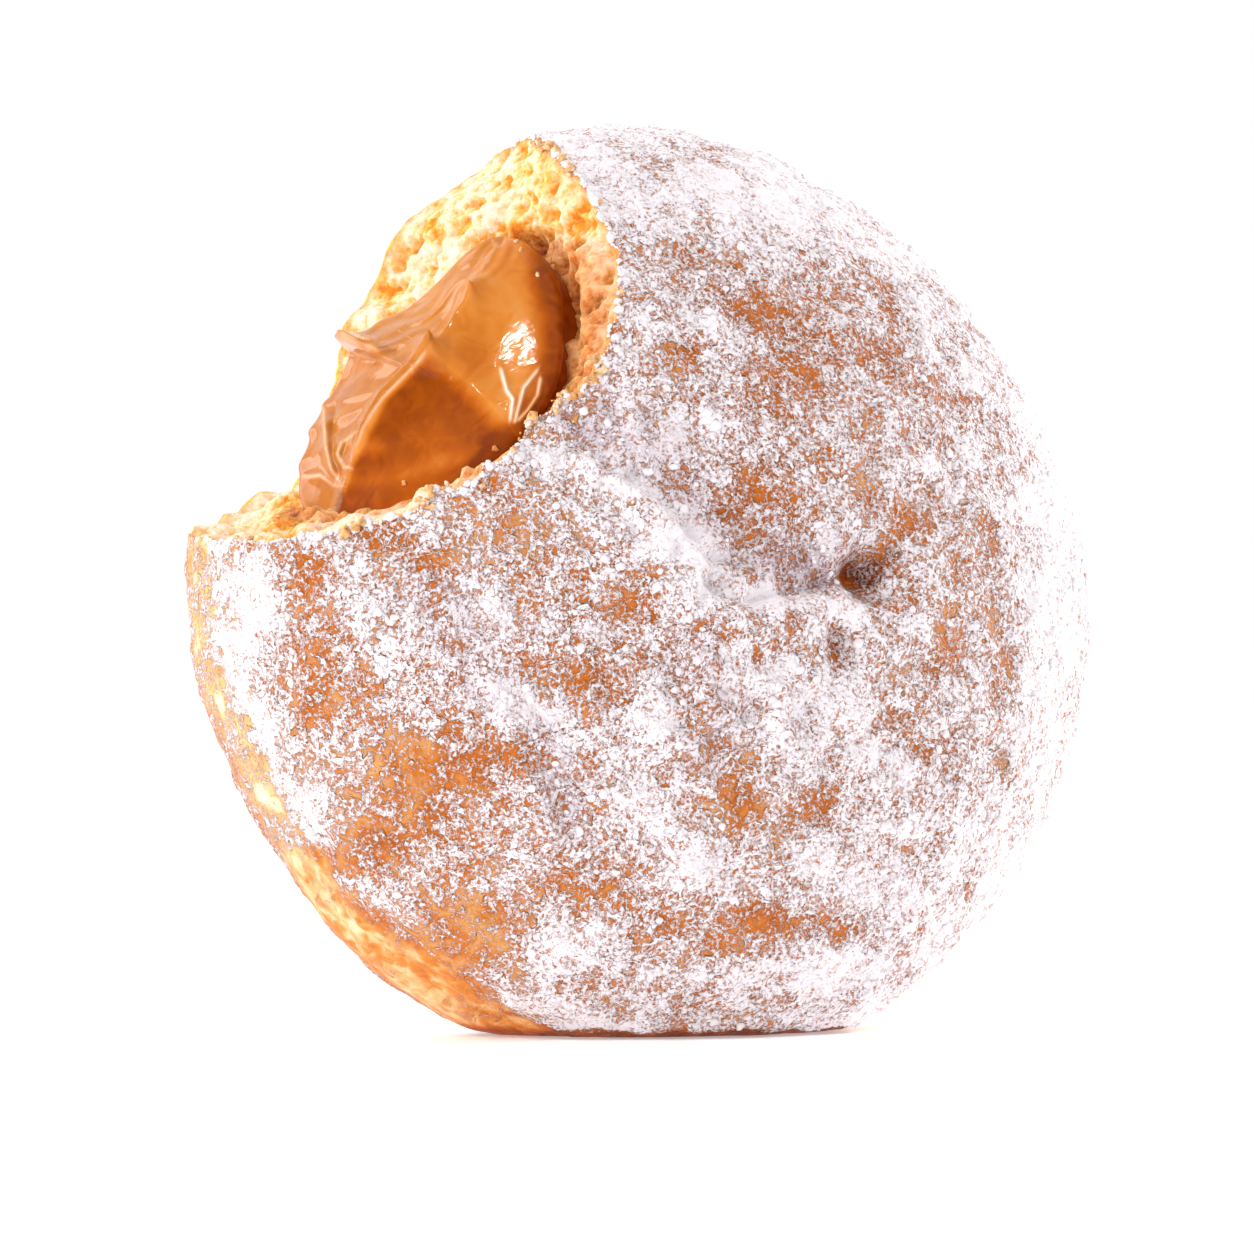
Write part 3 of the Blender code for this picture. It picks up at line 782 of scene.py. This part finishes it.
# Painted shadow along its right edge, where the crumb wall shades it, less at the top
at_edge = smooth_between(0.66, 0.93, np.hypot(facing_out[:, 0], facing_out[:, 1]))
at_edge = at_edge * smooth_between(-20.0, -13.0, seen_x)
at_top = smooth_between(26.0, 31.0, seen_y) * smooth_between(-9.5, -12.0, seen_x)
deep += 1.2 * at_edge * (1.0 - 0.8 * at_top)
keep_on_points(filling, "deep", np.clip(deep, 0.0, 1.4))
# Left of the step the cream's colour is blended toward a paler, greyer tan
keep_on_points(filling, "terrace_tan", 0.45 * ~right_of_step)
# Painted highlights: thin pale lines of colour along the sharpest crests, standing in for glints of
# light on them
HIGHLIGHTED_CRESTS = ((1, 0.3), (5, 0.35), (6, 0.5), (7, 0.5), (8, 0.45), (11, 1.0), (12, 0.95), (13, 1.0))
crest_highlight = np.zeros(len(seen_x))
for index, strength in HIGHLIGHTED_CRESTS:
    distance, place, _ = off_path(seen_x, seen_y, RIDGES[index][0])
    fading = smooth_between(0.0, 0.1, place) * smooth_between(1.0, 0.9, place)
    crest_highlight = np.maximum(crest_highlight, strength * fading * hill(distance, 0.17))
keep_on_points(filling, "crest_highlight", crest_highlight * (facing_out[:, 2] > 0))
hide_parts("filling")
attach(filling, "root")

# Bite and crumb
# One broad bite through the rim, which bares the crumb: soft cream-yellow bread with open cells a
# millimetre or two across, and the brown line of the crust round its edge.
BITE_CENTRE = (-45.0, 36.0)
BITE_WALL = (
    (-100, 35.5, 0.26),
    (-90, 34.3, 0.26),
    (-80, 33.9, 0.257),
    (-72, 33.2, 0.253),
    (-64, 32.4, 0.246),
    (-58, 32.4, 0.21),
    (-40, 30.6, 0.27),
    (-22, 27.7, 0.355),
    (0, 27.3, 0.34),
    (5, 28.0, 0.29),
    (12, 31.2, 0.03),
    (25, 33.0, 0.0),
)
# The bitten span in degrees, and the rest of the closed tube, which lies in the open air
BITTEN_SPAN = (-100, 25)
OPEN_SPAN = (45, 240)
OPEN_RADIUS = 35.0
TUBE_HALF_LENGTH = 27.0
TOOTH_DEPTH = 0.35
TOOTH_PITCH = 17.0
CELL_SIZE = 1.9
SMALL_CELL_SIZE = 0.9
CELL_DEPTH = 1.1
# Bits of crumb left standing at the rim: angle, half width, height, from how far forward
TORN_BITS = (
    (-64.0, 1.6, 1.3, 14.0),
    (-74.0, 1.0, 0.7, 13.0),
    (-57.0, 1.2, 0.8, 16.0),
    (-46.0, 1.3, 0.7, 16.0),
    (-94.0, 2.5, 1.2, -9.0),
)
# Hollows in the crumb, coloured darker and more golden as painted shade, as seen from the front:
# right, up, size, how much painted shade
SHADED_HOLLOWS = (
    (-11.6, 34.2, 1.7, 0.8),
    (-4.2, 35.2, 1.1, 0.8),
    (-24.3, 29.3, 1.1, 0.8),
    (-19.9, 35.2, 1.2, 0.8),
    (-33.3, 7.6, 1.7, 0.8),
    (-9.8, 39.5, 3.0, 0.38),
    (-6.8, 35.0, 1.8, 0.35),
)


def bite_radius(angle, w):
    angles, radii, widening = np.array(BITE_WALL).T
    plain = np.interp(angle, angles, radii) + np.interp(angle, angles, widening) * w
    return plain + TOOTH_DEPTH * np.abs(np.sin(np.radians(angle + 6.0) * 180.0 / TOOTH_PITCH / 2.0))


def torn_rim(points):
    """Raggedness of the bite's wall, in and out, with bits of crumb left standing at its rim."""
    ragged = 0.50 * rough(points, 2.7, 25) + 0.34 * rough(points, 1.2, 26)
    ragged += 0.9 * rough(points, 4.6, 27) * smooth_between(-5.0, -11.0, points[:, 2])
    angle = np.degrees(np.arctan2(points[:, 1], points[:, 0]))
    for middle, half_width, height, first_w in TORN_BITS:
        forward = smooth_between(first_w, first_w + 2.0, points[:, 2])
        ragged -= height * hill(angle - middle, half_width) * forward
    return ragged


def bite_shape():
    """The bite as a closed tube in the disc's own axes, longer than the doughnut is thick."""
    angles = np.concatenate([np.linspace(*BITTEN_SPAN, 190), np.linspace(*OPEN_SPAN, 11)])
    bitten = angles <= BITTEN_SPAN[1]
    turned = np.radians(angles)
    levels = np.linspace(-TUBE_HALF_LENGTH, TUBE_HALF_LENGTH, 140)
    rings = []
    for w in levels:
        radius = np.where(bitten, bite_radius(angles, w), OPEN_RADIUS)
        along = np.full(len(angles), w)
        ring = np.column_stack([np.cos(turned) * radius, np.sin(turned) * radius, along])
        radius = radius + np.where(bitten, torn_rim(ring), 0.0)
        ring[:, 0] = BITE_CENTRE[0] + radius * np.cos(turned)
        ring[:, 1] = BITE_CENTRE[1] + radius * np.sin(turned)
        rings.append(ring)
    points = np.concatenate(rings)
    count = len(angles)
    here = np.arange(count)
    after = (here + 1) % count
    faces = []
    for level in range(len(levels) - 1):
        low, high = level * count, (level + 1) * count
        faces.append(np.column_stack([low + here, low + after, high + after, high + here]))
    faces = [tuple(int(k) for k in f) for f in np.concatenate(faces)]
    faces.append(tuple(range(count))[::-1])
    top = (len(levels) - 1) * count
    faces.append(tuple(top + k for k in range(count)))
    return points, faces


def off_cells(points, size, seed):
    """Distance from the nearest of many scattered cell centres, in cell sizes."""
    place = points / size
    low = np.floor(place).astype(np.int64)
    near = np.full(len(points), 9.0)
    for ox in (-1, 0, 1):
        for oy in (-1, 0, 1):
            for oz in (-1, 0, 1):
                ix, iy, iz = low[:, 0] + ox, low[:, 1] + oy, low[:, 2] + oz
                offset = [0.5 + 0.45 * grid_number(ix, iy, iz, seed + k) for k in (1, 2, 3)]
                centre = np.column_stack([ix + offset[0], iy + offset[1], iz + offset[2]])
                near = np.minimum(near, np.linalg.norm(place - centre, axis=1))
    return near


def tree_of(points):
    tree = KDTree(len(points))
    for k, point in enumerate(points):
        tree.insert(Vector(point), k)
    tree.balance()
    return tree


def millimetres_to(tree, points):
    return np.array([tree.find(Vector(p))[2] for p in points]) * 1000.0


crumb = Finish("soft_crumb")
depth = crumb.held("cell_shade")
edge = crumb.held("edge")
soak_and_shade = crumb.held("soak_and_shade")
# Painted shade: the crumb's colour turns darker and more golden deep in its cells and in the
# hollows
open_cells = crumb.sum(depth, crumb.range(crumb.grain(0.7, 3.0, 0.5), 0.3, 0.7, -0.5, 0.5), 0.5)
bread = crumb.shades(
    open_cells,
    (0.0, (251, 232, 208)),
    (0.3, (250, 220, 180)),
    (0.55, (247, 200, 130)),
    (0.8, (246, 174, 66)),
    (1.0, (236, 144, 18)),
)
# Soaked crumb, which at the right also stands for painted shade
wet_and_shaded = crumb.shades(open_cells, (0.0, (236, 170, 108)), (0.5, (214, 124, 46)), (1.0, (140, 58, 6)))
browned = crumb.shades(crumb.grain(1.0, 2.0), (0.3, (238, 176, 92)), (0.7, (204, 118, 48)))
bread = crumb.blend(crumb.range(soak_and_shade, 0.05, 0.75), bread, wet_and_shaded)
bread = crumb.blend(crumb.range(edge, 0.25, 0.95), bread, browned)
crumb.join(bread, crumb.shader.inputs["Base Color"])
crumb.shader.inputs["Roughness"].default_value = 0.75
crumb.shader.inputs["Subsurface Weight"].default_value = 0.85
crumb.shader.inputs["Subsurface Radius"].default_value = (1.0, 0.65, 0.3)
crumb.shader.inputs["Subsurface Scale"].default_value = 0.002
crumb.join(crumb.raise_by(crumb.grain(0.45, 3.0, 0.3), 0.4), crumb.shader.inputs["Normal"])

bite_points, bite_faces = bite_shape()
bite_world = placed(bite_points @ TO_DISC + np.array([0.0, STANDING_DROP, 0.0]))
bite_mesh = bpy.data.meshes.new("bite")
bite_mesh.from_pydata([tuple(p) for p in bite_world], [], bite_faces)
bite_mesh.materials.append(crumb.material)
bite = bpy.data.objects.new("bite", bite_mesh)
bpy.context.scene.collection.objects.link(bite)
step = dough.modifiers.new("bite", "BOOLEAN")
step.operation = "DIFFERENCE"
step.solver = "EXACT"
step.object = bite
step.material_mode = "TRANSFER"
bitten_dough = dough.evaluated_get(bpy.context.evaluated_depsgraph_get())
cut_mesh = bpy.data.meshes.new_from_object(bitten_dough)
dough.modifiers.clear()
dough.data = cut_mesh
bpy.data.objects.remove(bite)
bread_slot = [m.name for m in cut_mesh.materials].index("soft_crumb")
joined = bmesh.new()
joined.from_mesh(cut_mesh)
bmesh.ops.triangulate(joined, faces=[f for f in joined.faces if len(f.verts) > 4])
bmesh.ops.dissolve_degenerate(joined, dist=2e-7, edges=joined.edges[:])
joined.to_mesh(cut_mesh)
joined.free()

points = points_of(dough)
face_slots = np.zeros(len(cut_mesh.polygons), np.int32)
cut_mesh.polygons.foreach_get("material_index", face_slots)
on_skin = np.zeros(len(points), bool)
on_crumb = np.zeros(len(points), bool)
for polygon in cut_mesh.polygons:
    (on_crumb if polygon.material_index == bread_slot else on_skin)[list(polygon.vertices)] = True
border = np.nonzero(on_skin & on_crumb)[0]
inner = np.nonzero(on_crumb & ~on_skin)[0]
skin_index = np.nonzero(on_skin)[0]
rim_tree = tree_of(points[border])
to_skin = millimetres_to(rim_tree, points[inner])
to_filling = millimetres_to(tree_of(mound_world), points[inner])
local = back_to_disc(points)
walls = local[inner]
squeezed = walls * np.array([1.0, 1.0, 0.8])
bent = squeezed + 0.5 * rough(walls, 1.5, 21)[:, None]
big = smooth_between(0.75, 0.15, off_cells(bent, CELL_SIZE, 30))
small = smooth_between(0.7, 0.2, off_cells(squeezed, SMALL_CELL_SIZE, 40))
torn = 0.5 + 0.5 * rough(walls, 5.0, 22)
sunk = CELL_DEPTH * (big * (0.35 + 0.65 * torn) + 0.3 * small) + 0.35 * rough(walls, 3.2, 23)
right_side = smooth_between(-22.0, -12.0, (walls @ TO_DISC)[:, 0])
sunk += 1.8 * hill(to_filling, 1.5) * right_side
sunk *= smooth_between(0.0, 1.6, to_skin)
away = walls[:, :2] - np.array(BITE_CENTRE)
away /= np.linalg.norm(away, axis=1)[:, None]
walls[:, :2] += away * sunk[:, None]
walls[:, 2] += 0.3 * rough(walls, 1.2, 24) * smooth_between(0.0, 1.6, to_skin)
seen = walls @ TO_DISC
points[inner] = placed(seen + np.array([0.0, STANDING_DROP, 0.0]))
cut_mesh.vertices.foreach_set("co", points.astype(np.float32).ravel())
# Painted shade: how deep in a cell or hollow each point of the crumb lies, which darkens its colour
cell_shade = np.zeros(len(points))
cell_shade[inner] = 0.75 * big * (0.4 + 0.6 * torn) + 0.35 * small
for hollow_x, hollow_y, wide, hollow_shade in SHADED_HOLLOWS:
    off = np.hypot(seen[:, 0] - hollow_x, seen[:, 1] - hollow_y)
    cell_shade[inner] += hollow_shade * hill(off, wide)
keep_on_points(dough, "cell_shade", np.clip(cell_shade, 0.0, 1.0))
edge_share = np.ones(len(points))
edge_share[inner] = np.exp(-to_skin)
keep_on_points(dough, "edge", edge_share)
# The crumb beside the cream is darkened, most at the right and below: below by the cream soaked
# into it, at the right mostly as painted shade beside the cream, which reaches further
wetness_and_shade = np.zeros(len(points))
low_side = 1.0 - smooth_between(8.0, 14.0, seen[:, 1])
soaking_and_shade = np.exp(-to_filling / (1.2 + 5.5 * right_side + 1.5 * low_side))
soaking_and_shade = soaking_and_shade * np.clip(0.15 + 0.85 * right_side + 0.85 * low_side, 0.0, 1.0)
wetness_and_shade[inner] = soaking_and_shade * (1.0 - smooth_between(31.0, 36.0, seen[:, 1]))
keep_on_points(dough, "soak_and_shade", wetness_and_shade)

skin_tree = tree_of(skin_world)
sugar = np.full(len(points), -1.0)
sugar[skin_index] = [skin_sugar[skin_tree.find(Vector(p))[1]] for p in points[skin_index]]
keep_on_points(dough, "sugar", sugar)
# Painted shade for the creases of the sugar coat
keep_on_points(dough, "crease_shade", shade_in_creases(local))
w = local[:, 2]
above = (local @ TO_DISC)[:, 1] + STANDING_DROP
# How far the crust is browned: pale round the waist and at the lower left. It is darker where it
# stands and along the creases of the dimple, which is painted shade
toasting_and_shade = 0.58 + 0.12 * rough(local, 11.0, 50) + 0.15 * smooth_between(-3.0, -10.0, w)
toasting_and_shade -= 0.17 * oval_hill(local[:, 0], local[:, 1], -23.0, -36.3, 8.0, 8.0)
pale = hill(w + 0.8, 5.8)
toasting_and_shade += pale * (0.35 - 0.25 * smooth_between(8.0, 24.0, above) - toasting_and_shade)
# Painted shade: a dark line where it stands on the table
toasting_and_shade += 0.5 * (1.0 - smooth_between(0.3, 1.4, above))
# Painted shade along the creases at the dimple and the pucker below it
for path, *_ in FOLDS[2:5]:
    distance, _, _ = off_path(local[:, 0], local[:, 1], path)
    toasting_and_shade += 0.35 * hill(distance, 1.1) * (w > 0)
keep_on_points(dough, "toast_and_shade", np.clip(toasting_and_shade, 0.0, 1.0))
cut_mesh.update()
cut_mesh.shade_smooth()
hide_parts("dough")
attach(dough, "root")

# Sugar lumps
# Icing sugar that clumped when it was dusted on: soft white grains and little lumps, a fifth of a
# millimetre to nearly a millimetre across, sitting on the coat and along the rim of the bite.

# How many, smallest and largest radius, how finely made
LUMP_SIZES = ((1000, 0.20, 0.42, 2), (5000, 0.09, 0.22, 1))


def rough_ball(finer):
    """Points and triangles of a ball of radius 1, of 20 or 80 faces."""
    ball = bmesh.new()
    bmesh.ops.create_icosphere(ball, subdivisions=finer, radius=1.0)
    shape = np.array([v.co[:] for v in ball.verts])
    faces = np.array([[v.index for v in f.verts] for f in ball.faces])
    ball.free()
    return shape, faces


def scattered(places, normals, sizes, finer, flatness, unevenness, chance):
    """Points and triangles of many lumps, each half sunk into the surface that it lies on."""
    shape, faces = rough_ball(finer)
    across = np.cross(normals, chance.normal(size=normals.shape))
    across /= np.linalg.norm(across, axis=1)[:, None]
    along = np.cross(normals, across)
    swell = 1.0 + unevenness * chance.uniform(-1.0, 1.0, (len(places), len(shape)))
    lumps = shape[None] * swell[..., None]
    stretch = chance.uniform(0.75, 1.3, (len(places), 2))
    lumps = (
        lumps[..., 0, None] * across[:, None] * stretch[:, None, :1]
        + lumps[..., 1, None] * along[:, None] * stretch[:, None, 1:]
        + lumps[..., 2, None] * normals[:, None] * flatness
    )
    size = sizes[:, None, None]
    points = places[:, None] + normals[:, None] * size * 0.15 + lumps * size
    count = len(shape)
    joined = faces[None] + np.arange(len(places))[:, None, None] * count
    return points.reshape(-1, 3), joined.reshape(-1, 3)


chance = np.random.default_rng(7)
normals = np.empty(len(cut_mesh.vertices) * 3, np.float32)
cut_mesh.vertices.foreach_get("normal", normals)
normals = normals.reshape(-1, 3).astype(np.float64)
gathering = 0.5 + 0.5 * rough(local, 2.2, 70)
likely = on_skin * smooth_between(0.1, 0.9, sugar) * gathering**2 * smooth_between(0.0, 5.0, w)
to_rim = np.full(len(points), 9.0)
to_rim[skin_index] = np.minimum(9.0, millimetres_to(rim_tree, points[skin_index]))
likely += on_skin * 0.35 * np.exp(-to_rim / 0.8) * smooth_between(0.0, 4.0, w)
likely /= likely.sum()
lump_parts = []
for count, low, high, finer in LUMP_SIZES:
    picked = chance.choice(len(points), count, replace=False, p=likely)
    sizes = (low + (high - low) * chance.random(count) ** 2.0) * 0.001
    lump_parts.append(scattered(points[picked], normals[picked], sizes, finer, 0.65, 0.22, chance))
lump_points = np.concatenate([part[0] for part in lump_parts])
lump_faces = np.concatenate([lump_parts[0][1], lump_parts[1][1] + len(lump_parts[0][0])])
icing = Finish("icing_sugar")
icing.join(
    icing.shades(icing.grain(0.8, 3.0), (0.3, (239, 230, 234)), (0.7, (250, 246, 249))),
    icing.shader.inputs["Base Color"],
)
icing.shader.inputs["Roughness"].default_value = 0.9
icing.join(icing.raise_by(icing.grain(0.2, 2.0), 0.08), icing.shader.inputs["Normal"])
lumps = add_mesh("sugar_lumps", lump_points, lump_faces, [icing.material])
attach(lumps, "root")

# Loose crumbs
# Torn bits of crumb, golden and cream. They came off with the bite, and stick in clusters along its
# rim or have fallen on the cream.
RIM_CRUMBS = 170
# Fallen ones, as seen from the front: right, up, radius
FALLEN = (
    (-11.5, 32.4, 0.24),
    (-12.0, 33.3, 0.28),
    (-9.9, 30.0, 0.24),
    (-8.9, 31.3, 0.18),
    (-7.8, 32.1, 0.28),
    (-6.8, 31.8, 0.22),
    (-22.0, 10.4, 0.28),
    (-13.6, 13.4, 0.32),
)
in_clusters = 0.02 + smooth_between(0.0, 0.8, rough(local[border], 2.5, 80))
in_clusters = in_clusters * smooth_between(4.0, 9.0, local[border][:, 2])
rim_places = border[chance.choice(len(border), RIM_CRUMBS, p=in_clusters / in_clusters.sum())]
rim_sizes = (0.08 + 0.42 * chance.random(RIM_CRUMBS) ** 2.6) * 0.001
near_rim = points[rim_places] + chance.normal(size=(RIM_CRUMBS, 3)) * 0.0003
behind = 100.0 * (facing_out[:, 2] < 0)
fallen_places = []
for crumb_x, crumb_y, _ in FALLEN:
    off = np.hypot(seen_x - crumb_x, seen_y - crumb_y) + behind
    fallen_places.append(mound_world[int(np.argmin(off))])
fallen_normal = np.array((0.0, -1.0, 0.3)) / np.linalg.norm((0.0, -1.0, 0.3))
crumb_points, crumb_faces = scattered(
    np.concatenate([near_rim, fallen_places]),
    np.concatenate([normals[rim_places], np.tile(fallen_normal, (len(FALLEN), 1))]),
    np.concatenate([rim_sizes, np.array(FALLEN)[:, 2] * 0.001]),
    2,
    0.75,
    0.6,
    chance,
)
torn_bits = Finish("torn_crumb")
torn_colour = torn_bits.shades(
    torn_bits.grain(1.1, 3.0),
    (0.3, (252, 232, 204)),
    (0.5, (240, 188, 122)),
    (0.75, (214, 134, 62)),
)
torn_bits.join(torn_colour, torn_bits.shader.inputs["Base Color"])
torn_bits.shader.inputs["Roughness"].default_value = 0.8
torn_relief = torn_bits.raise_by(torn_bits.grain(0.3, 2.0), 0.12)
torn_bits.join(torn_relief, torn_bits.shader.inputs["Normal"])
crumbs = add_mesh("loose_crumbs", crumb_points, crumb_faces, [torn_bits.material])
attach(crumbs, "root")

# Floor and light
# A plain white table in a bright soft studio. The camera stands at the height of the doughnut,
# 70 cm away, and sees it from the photograph's angle.
TABLE_HALF = 3.0
CAMERA_PLACE = (-0.00152, -0.7, 0.03806)
# Name, place, size, watts, whether it shows in reflections
LAMPS = (
    ("key", (-0.40, -0.45, 0.30), 0.30, 1.28, False),
    ("fill", (0.45, -0.50, 0.30), 0.45, 0.38, False),
    ("window", (-0.245, -0.15, 0.60), 0.034, 0.55, True),
    ("panel", (-0.50, -0.38, 0.15), 0.12, 0.35, True),
    ("rim_right", (0.55, 0.30, 0.25), 0.40, 2.5, True),
    ("rim_left", (-0.55, 0.25, 0.35), 0.40, 1.6, True),
)
LAMPS_FACE = Vector((0.0, 0.0, 0.045))

tabletop = Finish("white_table")
tabletop.join(
    tabletop.shades(tabletop.grain(40.0, 2.0), (0.0, (250, 250, 250)), (1.0, (253, 253, 253))),
    tabletop.shader.inputs["Base Color"],
)
tabletop.shader.inputs["Roughness"].default_value = 0.6
tabletop.shader.inputs["Emission Color"].default_value = (1.0, 1.0, 1.0, 1.0)
tabletop.shader.inputs["Emission Strength"].default_value = 0.35
corners = [(x * TABLE_HALF, y * TABLE_HALF, 0) for x, y in ((-1, -1), (1, -1), (1, 1), (-1, 1))]
table = add_mesh("table", corners, [(0, 1, 2, 3)], [tabletop.material])
table.location.z = -0.0001

world = bpy.data.worlds.new("studio")
bpy.context.scene.world = world
world.use_nodes = True
sky = world.node_tree.nodes
sky["Background"].inputs["Strength"].default_value = 1.0
way = sky.new("ShaderNodeTexCoord")
split = sky.new("ShaderNodeSeparateXYZ")
fade = sky.new("ShaderNodeMapRange")
fade.inputs["From Min"].default_value = -1.0
fade.inputs["From Max"].default_value = 1.0
tint = sky.new("ShaderNodeValToRGB")
tint.color_ramp.elements[0].position = 0.1
tint.color_ramp.elements[0].color = (0.31, 0.285, 0.29, 1.0)
tint.color_ramp.elements[1].position = 0.62
tint.color_ramp.elements[1].color = (1.0, 1.0, 1.0, 1.0)
world.node_tree.links.new(way.outputs["Generated"], split.inputs[0])
world.node_tree.links.new(split.outputs["Y"], fade.inputs["Value"])
world.node_tree.links.new(fade.outputs["Result"], tint.inputs["Fac"])
world.node_tree.links.new(tint.outputs["Color"], sky["Background"].inputs["Color"])

for name, place, size, watts, mirrored in LAMPS:
    lamp = bpy.data.lights.new(name, "AREA")
    lamp.shape = "DISK"
    lamp.size = size
    lamp.energy = watts
    hung = bpy.data.objects.new(name, lamp)
    hung.location = place
    hung.rotation_euler = (LAMPS_FACE - Vector(place)).to_track_quat("-Z", "Y").to_euler()
    hung.visible_glossy = mirrored
    bpy.context.scene.collection.objects.link(hung)

view = bpy.data.cameras.new("camera")
view.sensor_width = 36.0
view.lens = 212.1
view.clip_start = 0.01
camera = bpy.data.objects.new("camera", view)
camera.location = SHIFT + np.array(CAMERA_PLACE)
camera.rotation_euler = (math.radians(90), 0.0, 0.0)
bpy.context.scene.collection.objects.link(camera)
bpy.context.scene.camera = camera
bpy.context.scene.view_settings.view_transform = "Standard"
